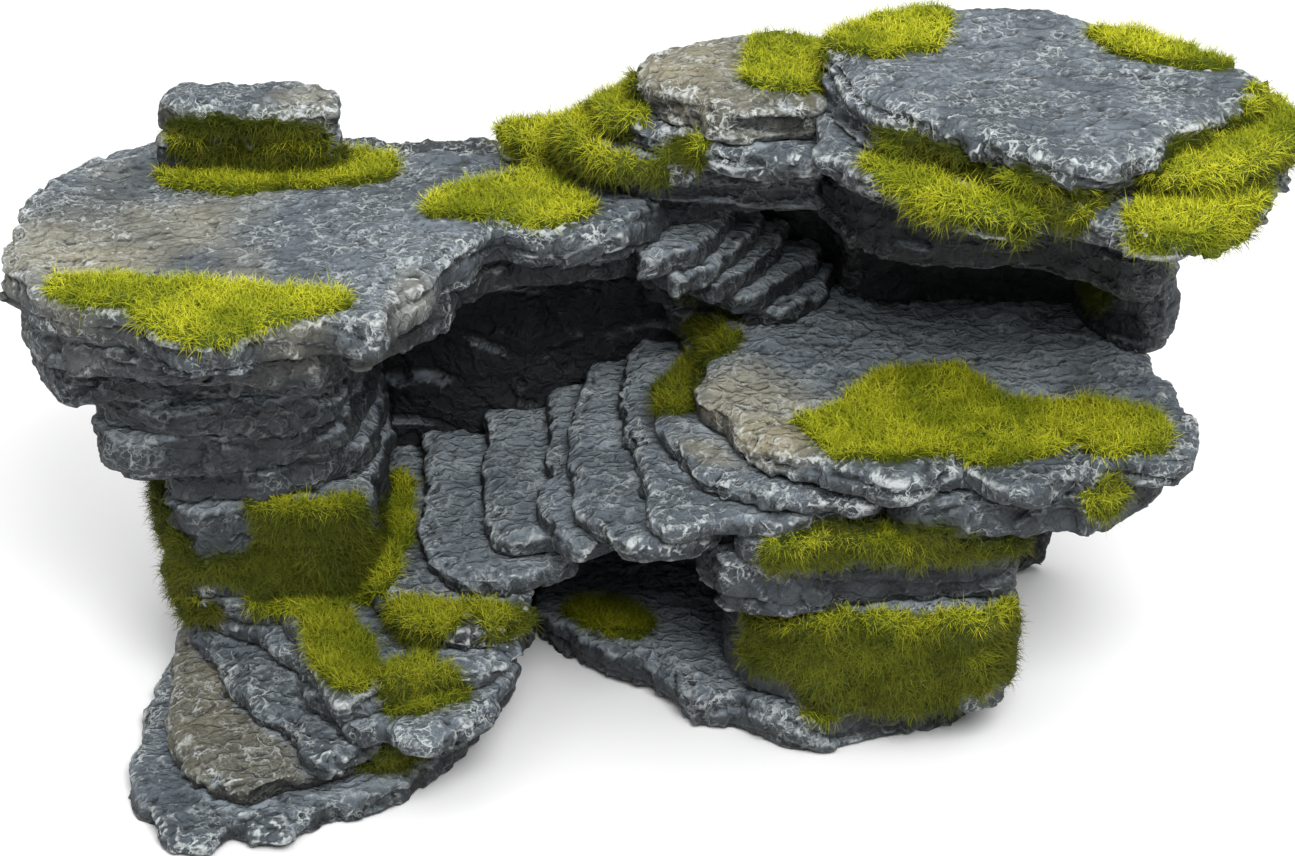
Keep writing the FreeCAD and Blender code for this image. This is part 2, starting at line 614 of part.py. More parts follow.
def check_document():
    """Stop if any feature failed or any sub-part isn't one sound solid."""
    for item in doc.Objects:
        if {"Invalid", "Error"} & set(item.State):
            raise RuntimeError(f"{item.Label} failed: {item.State}")
    for body in doc.findObjects("PartDesign::Body"):
        if body.Shape.isNull() or not body.Shape.isValid() or len(body.Shape.Solids) != 1:
            raise RuntimeError(f"{body.Label} is not one valid solid")


def export_parts():
    """Write each sub-part to its own file."""
    os.makedirs(PARTS_FOLDER, exist_ok=True)
    for body in doc.findObjects("PartDesign::Body"):
        body.Shape.exportStep(os.path.join(PARTS_FOLDER, f"{body.Label}.step"))


make_sheet()
left_foot()
left_pillar()
corbels()
platform()
caves()
ramp()
deck()
upper_stair()
right_tower()
recess()
top_steps()
crown()
loose_rocks()
moss()
doc.recompute()
check_document()
export_parts()
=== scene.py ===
"""Looks of the resin cave ornament: carved slate slabs with dry-brushed paint, and flocked moss.

Every slab is made from its CAD node: the node's mesh is remeshed finely, rounded, warped, chipped
and split into strata, and the new piece replaces the node. The moss is a low cushion grown on the
slabs wherever a CAD moss node lies on them, with thousands of bent fibres rooted in it.
Shapes are worked out in millimetres and written to the meshes in metres.
"""
import math
from collections import namedtuple

import bpy
import numpy as np
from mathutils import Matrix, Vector
from mathutils.bvhtree import BVHTree


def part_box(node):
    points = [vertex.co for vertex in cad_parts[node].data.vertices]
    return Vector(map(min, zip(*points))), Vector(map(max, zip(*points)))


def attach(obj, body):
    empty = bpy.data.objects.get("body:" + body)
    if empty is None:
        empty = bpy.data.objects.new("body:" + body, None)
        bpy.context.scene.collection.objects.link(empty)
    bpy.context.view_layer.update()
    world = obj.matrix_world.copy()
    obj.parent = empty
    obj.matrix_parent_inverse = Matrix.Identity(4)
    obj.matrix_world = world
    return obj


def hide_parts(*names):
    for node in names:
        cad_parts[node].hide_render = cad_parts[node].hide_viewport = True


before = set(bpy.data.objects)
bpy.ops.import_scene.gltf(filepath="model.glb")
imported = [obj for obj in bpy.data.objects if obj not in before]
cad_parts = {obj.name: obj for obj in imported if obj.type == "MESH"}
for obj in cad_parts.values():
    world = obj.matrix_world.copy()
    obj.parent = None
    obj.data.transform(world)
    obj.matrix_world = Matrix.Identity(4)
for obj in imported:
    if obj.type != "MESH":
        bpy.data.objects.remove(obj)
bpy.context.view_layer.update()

MM = 0.001

# Lengths are in millimetres. A voxel is the size of a face on the carved slabs, and each slab's
# shape starts from a seed of its own.
FIRST_SEED = 1000
SEED_STEP = 97
VOXEL = 0.85
EDGE_RAGGEDNESS = 0.9
SLAB_SWELL = 0.9
RIM_WIDTH = 3.3
# One point in so many is tested for open sky, along six ways that lean out from straight up.
SHELTER_STEP = 9
SKY_WAYS = [(math.sin(a) * 0.6, math.cos(a) * 0.6, 0.8) for a in np.arange(6) * math.pi / 3]
SKY_REACH = 200
SKY_START = 2.5
SKY_BLUR = 1.5
# How widely each point's surroundings are averaged, for the fine ridges and the broad knobs.
RIDGE_WIDTH = 0.6
KNOB_WIDTH = 1.6
STRONGEST_PER_CENT = 97
# Slate splits into flakes that run a little askew to the front.
GRAIN = np.array([[0.55, -0.25, 0.0], [0.3, 1.2, 0.0], [0.0, 0.0, 1.0]])
TINY = 1e-9

# Noise is taken far from zero, where no cell has a negative number.
NOISE_START = 1000.0
FAR = 9.0
AXIS_PRIMES = [np.uint32(prime) for prime in (73856093, 19349663, 83492791)]
TIMES = np.uint32(0x9E3779B1)
MIX_A = np.uint32(0x85EBCA6B)
MIX_B = np.uint32(0xC2B2AE35)
LARGEST = 4294967295.0


# ---------------------------------------------------------------- noise

def lattice(ix, iy, iz, seed):
    """A repeatable random number from 0 to 1 for each lattice point."""
    mixed = ix.astype(np.uint32) * AXIS_PRIMES[0]
    mixed ^= iy.astype(np.uint32) * AXIS_PRIMES[1]
    mixed ^= iz.astype(np.uint32) * AXIS_PRIMES[2]
    mixed = (mixed + np.uint32(seed)) * TIMES
    mixed = (mixed ^ (mixed >> np.uint32(15))) * MIX_A
    mixed = (mixed ^ (mixed >> np.uint32(13))) * MIX_B
    return (mixed ^ (mixed >> np.uint32(16))) / LARGEST


def noise(points, size, seed):
    """Smooth noise from -1 to 1 whose features are about size across."""
    shifted = points / size + NOISE_START
    cell = np.floor(shifted)
    part = shifted - cell
    ease = part * part * part * (part * (part * 6 - 15) + 10)
    cell = cell.astype(np.int64)
    total = np.zeros(len(points))
    for corner in range(8):
        dx, dy, dz = corner & 1, corner >> 1 & 1, corner >> 2 & 1
        weight = ease[:, 0] if dx else 1 - ease[:, 0]
        weight = weight * (ease[:, 1] if dy else 1 - ease[:, 1])
        weight = weight * (ease[:, 2] if dz else 1 - ease[:, 2])
        total += weight * lattice(cell[:, 0] + dx, cell[:, 1] + dy, cell[:, 2] + dz, seed)
    return total * 2 - 1


def rough(points, size, seed, octaves=4):
    """Noise with finer and finer detail added."""
    total = np.zeros(len(points))
    strength = 0.5
    turned = points
    for octave in range(octaves):
        total += strength * noise(turned, size, seed + octave)
        turned = turned[:, [1, 2, 0]] * 1.03
        size *= 0.5
        strength *= 0.5
    return total


def scattered(shifted, seed):
    """The cell and the scattered grain in it, for each of the 27 cells round every point in turn."""
    cell = np.floor(shifted).astype(np.int64)
    for step in range(27):
        home = cell + np.array([step % 3 - 1, step // 3 % 3 - 1, step // 9 - 1])
        yield home, home + np.stack([lattice(*home.T, seed + axis) for axis in range(3)], axis=1)


def grain_distance(points, size, seed):
    """Distance to the nearest scattered grain, in cell sizes."""
    shifted = points / size + NOISE_START
    nearest = np.full(len(points), FAR)
    for _, grain in scattered(shifted, seed):
        nearest = np.minimum(nearest, np.linalg.norm(grain - shifted, axis=1))
    return nearest


def ramp(values, low, high):
    """Eased rise from 0 at low to 1 at high."""
    share = np.clip((values - low) / (high - low), 0, 1)
    return share * share * (3 - 2 * share)


# ---------------------------------------------------------------- meshes as arrays

class Skin:
    """A mesh's points, faces and neighbours as arrays, in millimetres."""

    def __init__(self, mesh, spacing):
        self.spacing = spacing
        count = len(mesh.vertices)
        flat = np.empty(count * 3, dtype=np.float32)
        mesh.vertices.foreach_get("co", flat)
        self.points = flat.reshape(-1, 3).astype(float) / MM
        ends = np.empty(len(mesh.edges) * 2, dtype=np.int32)
        mesh.edges.foreach_get("vertices", ends)
        self.ends = ends.reshape(-1, 2)
        corners = np.empty(len(mesh.loops), dtype=np.int32)
        mesh.loops.foreach_get("vertex_index", corners)
        self.faces = corners.reshape(-1, 4)
        self.links = np.bincount(self.ends.ravel(), minlength=count).astype(float)

    def neighbour_mean(self, values):
        """Average of the neighbours' values at each point."""
        first, last = self.ends.T
        size = len(values)
        columns = values.reshape(size, -1).T
        mean = [
            np.bincount(first, column[last], size) + np.bincount(last, column[first], size)
            for column in columns
        ]
        return (np.array(mean) / self.links).T.reshape(values.shape)

    def smoothed(self, values, reach):
        """The values blurred over a reach in millimetres, by steps towards the neighbours' mean."""
        for _ in range(max(1, round((2 * reach / self.spacing) ** 2))):
            values = (values + self.neighbour_mean(values)) / 2
        return values

    def face_normals(self):
        """Area-weighted normal of each face."""
        a, b, c, d = (self.points[self.faces[:, corner]] for corner in range(4))
        return np.cross(c - a, d - b) / 2

    def normals(self):
        """Unit normal at each point."""
        each = self.face_normals()
        total = np.zeros_like(self.points)
        for corner in range(4):
            for axis in range(3):
                total[:, axis] += np.bincount(self.faces[:, corner], each[:, axis], len(total))
        return total / np.maximum(np.linalg.norm(total, axis=1, keepdims=True), TINY)


def remeshed(node, voxel):
    """A fine, even mesh of a CAD node."""
    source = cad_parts[node]
    copy = bpy.data.objects.new(node + "_source", source.data.copy())
    bpy.context.collection.objects.link(copy)
    remesh = copy.modifiers.new("remesh", "REMESH")
    remesh.mode = "VOXEL"
    remesh.voxel_size = voxel * MM
    remesh.adaptivity = 0
    graph = bpy.context.evaluated_depsgraph_get()
    mesh = bpy.data.meshes.new_from_object(copy.evaluated_get(graph))
    bpy.data.objects.remove(copy)
    return mesh


def write_points(mesh, points):
    """Put the worked-out points back in the mesh."""
    mesh.vertices.foreach_set("co", (points * MM).astype(np.float32).ravel())
    mesh.update()


def write_field(mesh, name, values):
    """Store one number per point for the materials to read."""
    layer = mesh.attributes.get(name) or mesh.attributes.new(name, "FLOAT", "POINT")
    layer.data.foreach_set("value", np.asarray(values, dtype=np.float32))


# ---------------------------------------------------------------- the CAD shape as a search tree

def cad_tree(nodes):
    """One search tree of CAD nodes, in millimetres."""
    points = []
    faces = []
    for node in nodes:
        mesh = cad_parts[node].data
        start = len(points)
        points += [tuple(value / MM for value in vertex.co) for vertex in mesh.vertices]
        faces += [tuple(start + index for index in face.vertices) for face in mesh.polygons]
    return BVHTree.FromPolygons(points, faces)


def hits(tree, starts, way, reach):
    """1 for each start whose ray meets the tree within reach, otherwise 0."""
    way = Vector(way)
    return np.array([tree.ray_cast(Vector(start), way, reach)[0] is not None for start in starts], float)


ROCK_NODES = [name for name in sorted(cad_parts) if not name.startswith("moss_")]
MOSS_NODES = [name for name in sorted(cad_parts) if name.startswith("moss_")]
whole = cad_tree(ROCK_NODES)


# ---------------------------------------------------------------- rock

def warp(points):
    """A slow bend of the whole ornament, the same for all slabs so that they stay together."""
    moved = points.copy()
    moved[:, 0] += 2.2 * noise(points, 34, 11) + 0.8 * noise(points, 13, 12)
    moved[:, 1] += 2.2 * noise(points, 34, 21) + 0.8 * noise(points, 13, 22)
    moved[:, 2] += 1.3 * noise(points * [1, 1, 0.3], 42, 31)
    return moved


def strata(points, layer, seed):
    """Sideways offset of each thin layer of rock, with a groove between layers."""
    level = points[:, 2] / layer + 0.9 * noise(points * [1, 1, 0.2], 30, seed)
    index = np.floor(level)
    part = level - index
    around = points * [1, 1, 0] + index[:, None] * [31.7, 17.3, 5.1]
    offset = noise(around, 21, seed + 1) + 0.6 * noise(around, 9, seed + 2)
    groove = np.exp(-(np.minimum(part, 1 - part) / 0.09) ** 2)
    return offset - 0.7 * groove * ramp(noise(around, 15, seed + 3), -0.4, 0.3)


def facets(points, size, seed):
    """Tilted flat breaks, each about size across, as heights in shares of the size."""
    shifted = points / size + NOISE_START
    nearest = np.full(len(points), FAR)
    height = np.zeros(len(points))
    for home, grain in scattered(shifted, seed):
        tilt = np.stack([lattice(*home.T, seed + 3 + axis) for axis in range(3)], axis=1) - 0.5
        gap = np.linalg.norm(grain - shifted, axis=1)
        own = np.einsum("ij,ij->i", shifted - grain, tilt) + 0.5 * tilt[:, 0]
        height = np.where(gap < nearest, own, height)
        nearest = np.minimum(nearest, gap)
    return height


def ridges(points, size, seed):
    """Sharp crests between broad hollows, from 0 to 1."""
    crest = 1 - np.abs(noise(points, size, seed)) * 2.2
    return np.clip(crest, 0, 1) ** 2


def flakes(points, seed):
    """Low stepped flakes on a split surface, rising by 1 per step."""
    height = 4.5 * rough(points, 20, seed, 5)
    step = np.floor(height)
    return step + ramp(height - step, 0.0, 0.2)


# How each family of slabs is shaped, in millimetres: the height of one layer of strata, the
# rounding of the edges and the depth of the strata. Strength is a factor on flakes and chips.
Style = namedtuple("Style", "layer rounding depth strength")
STYLES = {
    "ramp_tread": Style(layer=9.0, rounding=1.7, depth=0.7, strength=0.6),
    "stair_step": Style(layer=9.0, rounding=1.7, depth=0.7, strength=0.5),
    "top_step": Style(layer=3.2, rounding=1.3, depth=1.5, strength=0.8),
    "shoulder": Style(layer=3.6, rounding=1.4, depth=1.5, strength=0.8),
    "ledge": Style(layer=3.6, rounding=1.5, depth=1.6, strength=0.8),
    "corbel": Style(layer=11.0, rounding=3.4, depth=1.2, strength=0.8),
    "tower": Style(layer=9.0, rounding=2.8, depth=1.3, strength=0.9),
    "pillar": Style(layer=12.0, rounding=2.8, depth=1.3, strength=0.9),
    "back_wall": Style(layer=15.0, rounding=3.0, depth=2.4, strength=1.5),
    "recess_wall": Style(layer=9.0, rounding=2.0, depth=2.0, strength=1.2),
    "deck": Style(layer=6.3, rounding=2.0, depth=1.3, strength=1.1),
}
PLAIN_STYLE = Style(layer=6.3, rounding=2.0, depth=1.3, strength=0.8)


def style_of(node):
    """The style whose name starts the node's name."""
    return next((style for name, style in STYLES.items() if node.startswith(name)), PLAIN_STYLE)


def side_offset(points, style, seed):
    """How far a slab's sides move outwards, for the ragged edge and the strata."""
    edge = 1.6 * noise(points * [1, 1, 0.15], 13, seed) + 1.3 * rough(points * [1, 1, 0.5], 6, seed + 3)
    layers = strata(points, style.layer, seed + 7)
    return SLAB_SWELL + EDGE_RAGGEDNESS * edge + style.depth * layers


def surface_offset(points, rim, up, style, seed):
    """How far the surface moves along its normal, for flakes, ridges, breaks and chipped rims."""
    bent = points + 1.2 * noise(points, 4, seed + 20)[:, None]
    pits = -ramp(1 - grain_distance(bent, 4.2, seed + 31), 0.2, 0.85)
    breaks = ramp(noise(points, 15, seed + 40), -0.45, 0.25)
    grain = points @ GRAIN
    along = up * (0.55 * flakes(grain, seed + 50) + 0.3 * flakes(grain * 2.2, seed + 52))
    along += 0.3 * ridges(grain, 4.2, seed + 57) + 0.16 * ridges(bent, 2.4, seed + 58)
    along += 0.2 * rough(points, 3.0, seed + 60, 3)
    along += 2.2 * facets(bent, 9, seed + 70) * (1 - 0.65 * up)
    return along * style.strength + 1.4 * rim * breaks * pits


def carve(skin, seed, style):
    """Turn a smooth slab into split, chipped slate, and say how near a rim each point is."""
    points = skin.smoothed(skin.points, style.rounding)
    skin.points = points
    normals = skin.normals()
    side = skin.smoothed(1 - ramp(np.abs(normals[:, 2]), 0.35, 0.9), 0.6)
    flat = normals * [1, 1, 0]
    flat /= np.maximum(np.linalg.norm(flat, axis=1, keepdims=True), 0.25)
    broad = np.einsum("ij,ij->i", points - skin.smoothed(points, RIM_WIDTH), normals)
    rim = ramp(broad, 0.12, 0.7)
    up = ramp(normals[:, 2], 0.1, 0.7)
    moved = warp(points)
    moved += flat * (side * side_offset(points, style, seed))[:, None]
    moved += normals * surface_offset(points, rim, up, style, seed)[:, None]
    moved[:, 2] = np.maximum(moved[:, 2], 0)
    skin.points = moved
    return rim


def shelter(skin):
    """How much of the sky the ornament hides from each point, from 0 to 1."""
    normals = skin.normals()
    sample = np.arange(0, len(skin.points), SHELTER_STEP)
    starts = skin.points[sample] + normals[sample] * SKY_START
    blocked = np.zeros(len(sample))
    for way in SKY_WAYS:
        hidden = hits(whole, starts, way, SKY_REACH)
        facing = np.clip(normals[sample] @ np.array(way) * 3, 0, 1)
        blocked += 1 - (1 - hidden) * facing
    known = np.zeros(len(skin.points))
    known[sample] = 1
    value = np.zeros(len(skin.points))
    value[sample] = blocked / len(SKY_WAYS)
    return skin.smoothed(value, SKY_BLUR) / np.maximum(skin.smoothed(known, SKY_BLUR), TINY)


def relief(skin, reach):
    """How far each point stands out of its surroundings, in millimetres."""
    gap = skin.points - skin.smoothed(skin.points, reach)
    return np.einsum("ij,ij->i", gap, skin.normals())


def scaled(values):
    """The values from -1 to 1, with all but the strongest few per cent inside."""
    return np.clip(values / np.percentile(np.abs(values), STRONGEST_PER_CENT), -1, 1)


# The material slots of the nodes that aren't plain slate_resin.
SLOTS = {
    "foot_course_2": "tan_slate_resin",
    "shoulder": "tan_slate_resin",
    "back_wall": "shaded_slate_resin",
    "recess_wall": "shaded_slate_resin",
    "ledge_corbel": "shaded_slate_resin",
    "cave_roof": "shaded_slate_resin",
    "foot_course_6": "shaded_slate_resin",
}


def rock_piece(node, number):
    """One carved slab that stands for its CAD node."""
    voxel = VOXEL
    mesh = remeshed(node, voxel)
    skin = Skin(mesh, voxel)
    rim = carve(skin, FIRST_SEED + SEED_STEP * number, style_of(node))
    write_points(mesh, skin.points)
    write_field(mesh, "ridge", scaled(relief(skin, RIDGE_WIDTH)))
    write_field(mesh, "knob", scaled(relief(skin, KNOB_WIDTH)))
    write_field(mesh, "rim", rim)
    skin.top = skin.smoothed(ramp(skin.normals()[:, 2], 0.3, 0.85), 0.7)
    write_field(mesh, "top", skin.top)
    skin.shelter = shelter(skin)
    write_field(mesh, "shelter", skin.shelter)
    piece = bpy.data.objects.new("rock_" + node, mesh)
    bpy.context.collection.objects.link(piece)
    mesh.shade_smooth()
    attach(piece, "root")
    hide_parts(node)
    SLOTS.get(node, "slate_resin")
    return piece, skin


rocks = {node: rock_piece(node, number) for number, node in enumerate(ROCK_NODES)}


# ---------------------------------------------------------------- materials

def colour(hex_code):
    """Linear colour with alpha from a six-figure code."""
    parts = [int(hex_code[i:i + 2], 16) / 255 for i in (0, 2, 4)]
    linear = [part / 12.92 if part <= 0.04045 else ((part + 0.055) / 1.055) ** 2.4 for part in parts]
    return (*linear, 1)


class Nodes:
    """Short calls for building a material's node tree."""

    def __init__(self, name):
        self.material = bpy.data.materials.new(name)
        self.material.use_nodes = True
        self.tree = self.material.node_tree
        self.shader = self.tree.nodes["Principled BSDF"]

    def add(self, kind, inputs=(), **settings):
        """Add a node, set it up and link or set its inputs."""
        node = self.tree.nodes.new(kind)
        for key, value in settings.items():
            setattr(node, key, value)
        for key, value in dict(inputs).items():
            self.feed(node.inputs[key], value)
        return node

    def feed(self, socket, value):
        """Link a socket to another, or set it to a constant."""
        if isinstance(value, bpy.types.NodeSocket):
            self.tree.links.new(value, socket)
        else:
            socket.default_value = value

    def noise(self, place, scale, detail, roughness=0.6):
        """Noise from 0 to 1."""
        inputs = {"Vector": place, "Scale": scale, "Detail": detail, "Roughness": roughness}
        return self.add("ShaderNodeTexNoise", inputs).outputs["Fac"]

    def field(self, name):
        """One of the numbers stored on the mesh."""
        return self.add("ShaderNodeAttribute", attribute_name=name).outputs["Fac"]

    def math(self, operation, first, second):
        """Arithmetic on two numbers."""
        return self.add("ShaderNodeMath", {0: first, 1: second}, operation=operation).outputs[0]

    def rise(self, value, low, high, bottom=0.0, top=1.0):
        """Eased rise from bottom to top as the value goes from low to high."""
        inputs = {"Value": value, "From Min": low, "From Max": high, "To Min": bottom, "To Max": top}
        node = self.add("ShaderNodeMapRange", inputs, interpolation_type="SMOOTHSTEP")
        return node.outputs["Result"]

    def mix(self, share, first, second):
        """Mix of two colours."""
        node = self.add("ShaderNodeMix", data_type="RGBA")
        self.feed(node.inputs[0], share)
        self.feed(node.inputs[6], first)
        self.feed(node.inputs[7], second)
        return node.outputs[2]


# Paints. A palette is a slot's middle, light and dark coat.
# Painted shade: the dark colour is painted on sides that the ornament hides from the sky, and it also
# darkens the hollows.
PAINTED_SHADE_AND_HOLLOW_DARK = "15181b"
PIT_SHADOW = "23272b"
DRY_BRUSH = "c9cecd"
# Painted light: a paler coat for tops that the ornament hides from the sky.
PAINTED_LIGHT_COAT = "9aa5ad"
TAN_TINT = "9c9478"
GREEN_STAIN = "3b4410"
GREEN_TIP = "a3ad16"
YELLOW_TIP = "dcd936"
DEEP_TIP = "78860e"
# Painted shade: fibres are painted dark at the root, where the flock shades itself.
FIBRE_ROOT_PAINTED_SHADE = "39450a"
# Painted shade and a deeper green for moss on sheltered sides and on shaded patches.
MOSS_PAINTED_SHADE_AND_DEEP_GREEN = "2c3309"
PALE_FLOOR = "fafafa"
PALETTES = {
    "slate_resin": ("4f585f", "69737b", "373e44"),
    # shaded_slate_resin is slate_resin painted darker: painted shade for the slabs that lie in shade.
    "shaded_slate_resin": ("2f353a", "3b4248", "1f2327"),
    "tan_slate_resin": ("67665a", "837f6b", "45443b"),
}


def web_of_ridges(make, place, scale, width):
    """Distance to the walls between small chips, and the walls themselves as thin lines."""
    drift = make.add("ShaderNodeTexNoise", {"Vector": place, "Scale": scale * 1.2, "Detail": 5.0})
    shifted = make.add("ShaderNodeMix", data_type="VECTOR")
    make.feed(shifted.inputs[0], 1.5 / scale)
    make.feed(shifted.inputs[4], place)
    make.feed(shifted.inputs[5], drift.outputs["Color"])
    long_chips = make.add("ShaderNodeVectorMath", {0: shifted.outputs[1], 1: (0.7, 1.15, 1.0)},
                          operation="MULTIPLY").outputs[0]
    web = make.add("ShaderNodeTexVoronoi", {"Vector": long_chips, "Scale": scale},
                   feature="DISTANCE_TO_EDGE").outputs["Distance"]
    spread = make.rise(make.noise(place, scale * 1.5, detail=3.0), 0.35, 0.75, 0.0, width)
    return web, make.rise(web, spread, 0.0)


def base_coat(make, slot, mottle, fields):
    """Mottled grey coat with a tan tint, painted shade on sides where the sky is hidden, a paler coat as
    painted light on sheltered tops, and darker in the hollows.
    """
    middle, light, dark = (colour(code) for code in PALETTES[slot])
    coat = make.mix(make.rise(fields["broad"], 0.35, 0.65), middle, light)
    coat = make.mix(make.rise(mottle, 0.38, 0.7, 0.0, 0.7), coat, dark)
    coat = make.mix(make.math("MULTIPLY", fields["warm"], 0.85), coat, colour(TAN_TINT))
    hidden, top = fields["shelter"], fields["top"]
    # Painted shade: sides that the ornament hides from the sky are painted dark.
    dim = make.math("MULTIPLY", hidden, make.rise(top, 0.0, 1.0, 1.0, 0.0))
    # Painted light: tops that the ornament hides from the sky are painted paler, standing in for light that
    # doesn't reach them.
    painted_light = make.math("MULTIPLY", make.rise(hidden, 0.5, 1.0), make.rise(top, 0.3, 1.0, 0.0, 0.7))
    coat = make.mix(painted_light, coat, colour(PAINTED_LIGHT_COAT))
    coat = make.mix(make.rise(dim, 0.1, 0.9, 0.0, 0.85), coat, colour(PAINTED_SHADE_AND_HOLLOW_DARK))
    # Darker in the hollows between the ridges and knobs.
    hollow_dark = make.rise(make.math("ADD", fields["ridge"], fields["knob"]), 0.1, -1.3, 0.0, 0.85)
    coat = make.mix(hollow_dark, coat, colour(PAINTED_SHADE_AND_HOLLOW_DARK))
    return make.mix(make.math("MULTIPLY", fields["algae"], 0.75), coat, colour(GREEN_STAIN))


def slate_material(slot):
    """Painted resin slate: grey coat with painted shade on sheltered sides and painted light on sheltered
    tops, darker in the hollows, white dry brush on the ridges.
    """
    make = Nodes(slot)
    place = make.add("ShaderNodeTexCoord").outputs["Object"]
    fields = {"broad": make.noise(place, scale=28.0, detail=5.0)}
    mottle = make.noise(place, scale=140.0, detail=8.0, roughness=0.65)
    grit = make.noise(place, scale=900.0, detail=4.0, roughness=0.7)
    for name in ("ridge", "knob", "rim", "top", "shelter", "warm", "algae"):
        fields[name] = make.field(name)
    rim, top = fields["rim"], fields["top"]
    coat = base_coat(make, slot, mottle, fields)

    web, lines = web_of_ridges(make, place, scale=200.0, width=0.14)
    fine_lines = web_of_ridges(make, place, scale=430.0, width=0.24)[1]
    lines = make.math("MAXIMUM", lines, make.math("MULTIPLY", fine_lines, 0.7))
    patchy = make.rise(make.noise(place, scale=75.0, detail=5.0, roughness=0.7), 0.4, 0.6)
    fresh = make.math("MAXIMUM", make.rise(rim, 0.05, 0.75, 0.0, 0.9), make.math("MULTIPLY", top, 0.55))
    fresh = make.math("MAXIMUM", fresh, make.math("MULTIPLY", fields["warm"], 0.8))
    pitted = make.math("MULTIPLY", make.rise(web, 0.12, 0.4), make.rise(rim, 0.2, 0.9, 0.0, 0.55))
    coat = make.mix(pitted, coat, colour(PIT_SHADOW))
    lines = make.math("MULTIPLY", make.math("MULTIPLY", lines, patchy), fresh)
    raised = make.math("ADD", fields["ridge"], make.math("MULTIPLY", fields["knob"], 0.3))
    raised = make.rise(raised, 0.4, 1.0)
    raised = make.math("MULTIPLY", raised, make.rise(mottle, 0.42, 0.56, 0.0, 0.85))
    raised = make.math("MULTIPLY", raised, make.rise(fresh, 0.0, 0.6, 0.4, 1.0))
    brushed = make.math("MAXIMUM", lines, raised)
    # Painted shade: less dry brush where the sky is hidden, except on tops.
    seen = make.rise(fields["shelter"], 0.95, 0.4, 0.15, 0.95)
    seen = make.math("MAXIMUM", seen, make.math("MULTIPLY", top, 0.8))
    brushed = make.math("MULTIPLY", brushed, seen)
    coat = make.mix(brushed, coat, colour(DRY_BRUSH))

    height = make.math("ADD", make.math("MULTIPLY", mottle, 0.8), make.math("MULTIPLY", grit, 0.2))
    height = make.math("ADD", height, make.rise(web, 0.25, 0.0, 0.0, 0.5))
    bump = make.add("ShaderNodeBump", {"Height": height, "Strength": 0.9, "Distance": 0.0016})
    make.feed(make.shader.inputs["Base Color"], coat)
    make.feed(make.shader.inputs["Normal"], bump.outputs["Normal"])
    make.feed(make.shader.inputs["Roughness"], make.rise(mottle, 0.3, 0.8, 0.6, 0.85))
    return make.material


def moss_material():
    """Static-grass flock: painted shade at the root and on sheltered sides, yellow-green at the tip, each
    fibre a little different.
    """
    make = Nodes("flocked_moss")
    place = make.add("ShaderNodeTexCoord").outputs["Object"]
    along, own = make.field("along"), make.field("own")
    patch = make.noise(place, scale=60.0, detail=3.0)
    tip = make.mix(own, colour(GREEN_TIP), colour(YELLOW_TIP))
    tip = make.mix(make.rise(patch, 0.38, 0.7, 0.0, 0.85), tip, colour(DEEP_TIP))
    # Painted shade: darker towards each fibre's root.
    shade = make.mix(make.rise(along, 0.0, 0.7), colour(FIBRE_ROOT_PAINTED_SHADE), tip)
    # Painted shade: moss on sheltered sides, and on patches in shade, is painted darker.
    shade = make.mix(make.rise(make.field("shelter"), 0.05, 0.65, 0.0, 0.85), shade, colour(MOSS_PAINTED_SHADE_AND_DEEP_GREEN))
    make.feed(make.shader.inputs["Base Color"], shade)
    make.feed(make.shader.inputs["Roughness"], 0.75)
    make.feed(make.shader.inputs["Specular IOR Level"], 0.2)
    return make.material


def floor_material():
    """Plain pale floor."""
    make = Nodes("pale_floor")
    make.feed(make.shader.inputs["Base Color"], colour(PALE_FLOOR))
    make.feed(make.shader.inputs["Roughness"], 0.9)
    return make.material


# ---------------------------------------------------------------- moss

FIBRES_PER_SQUARE_MM = 10.0
# How far round its CAD patch the moss spreads, and how sure a covered point has to be.
MOSS_REACH = 1.6
COVERED = 0.3
# Faces this far outside the patch's box aren't looked at.
SEARCH_MARGIN = 12
# Moss hangs over a rim, but doesn't grow on the underside or where a slab lies just above.
STEEPEST = -0.35
HEADROOM_START = 3.5
HEADROOM = 9
FIBRE_POINTS = 5
random = np.random.default_rng(2024)


def spot(node, share, radii, gain=1.35):
    """An oval placed by shares of a CAD node's box: centre, half-widths and strength."""
    low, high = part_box(node)
    centre = [(low[i] + (high[i] - low[i]) * share[i]) / MM for i in range(3)]
    return np.array(centre), np.array(radii, dtype=float), gain


def bare(node, share, radii):
    """An oval that stays free of moss."""
    return spot(node, share, radii, -2.5)


def coverage(points, tree, low, high, spots):
    """From 0 to 1, how surely moss covers each point."""
    cover = np.full(len(points), -1.0)
    margin = MOSS_REACH + 3
    inside = np.all((points > low - margin) & (points < high + margin), axis=1)
    for index in np.flatnonzero(inside):
        distance = tree.find_nearest(Vector(points[index]))[3]
        cover[index] = 1 - distance / (MOSS_REACH + 1.0)
    for centre, radii, gain in spots:
        share = np.linalg.norm((points - centre) / radii, axis=1)
        if gain > 0:
            cover = np.maximum(cover, gain * (1 - share))
        else:
            cover += gain * np.clip(1 - share, 0, 1)
    ragged = 0.45 * rough(points, 9, 777, 3) + 0.15 * noise(points, 2.2, 778)
    return cover + ragged


def open_to_air(points, normals):
    """True where no slab lies just above the point."""
    starts = points + normals * HEADROOM_START
    return np.array([
        whole.ray_cast(Vector(start), Vector(way), HEADROOM)[0] is None
        for start, way in zip(starts, normals)
    ])


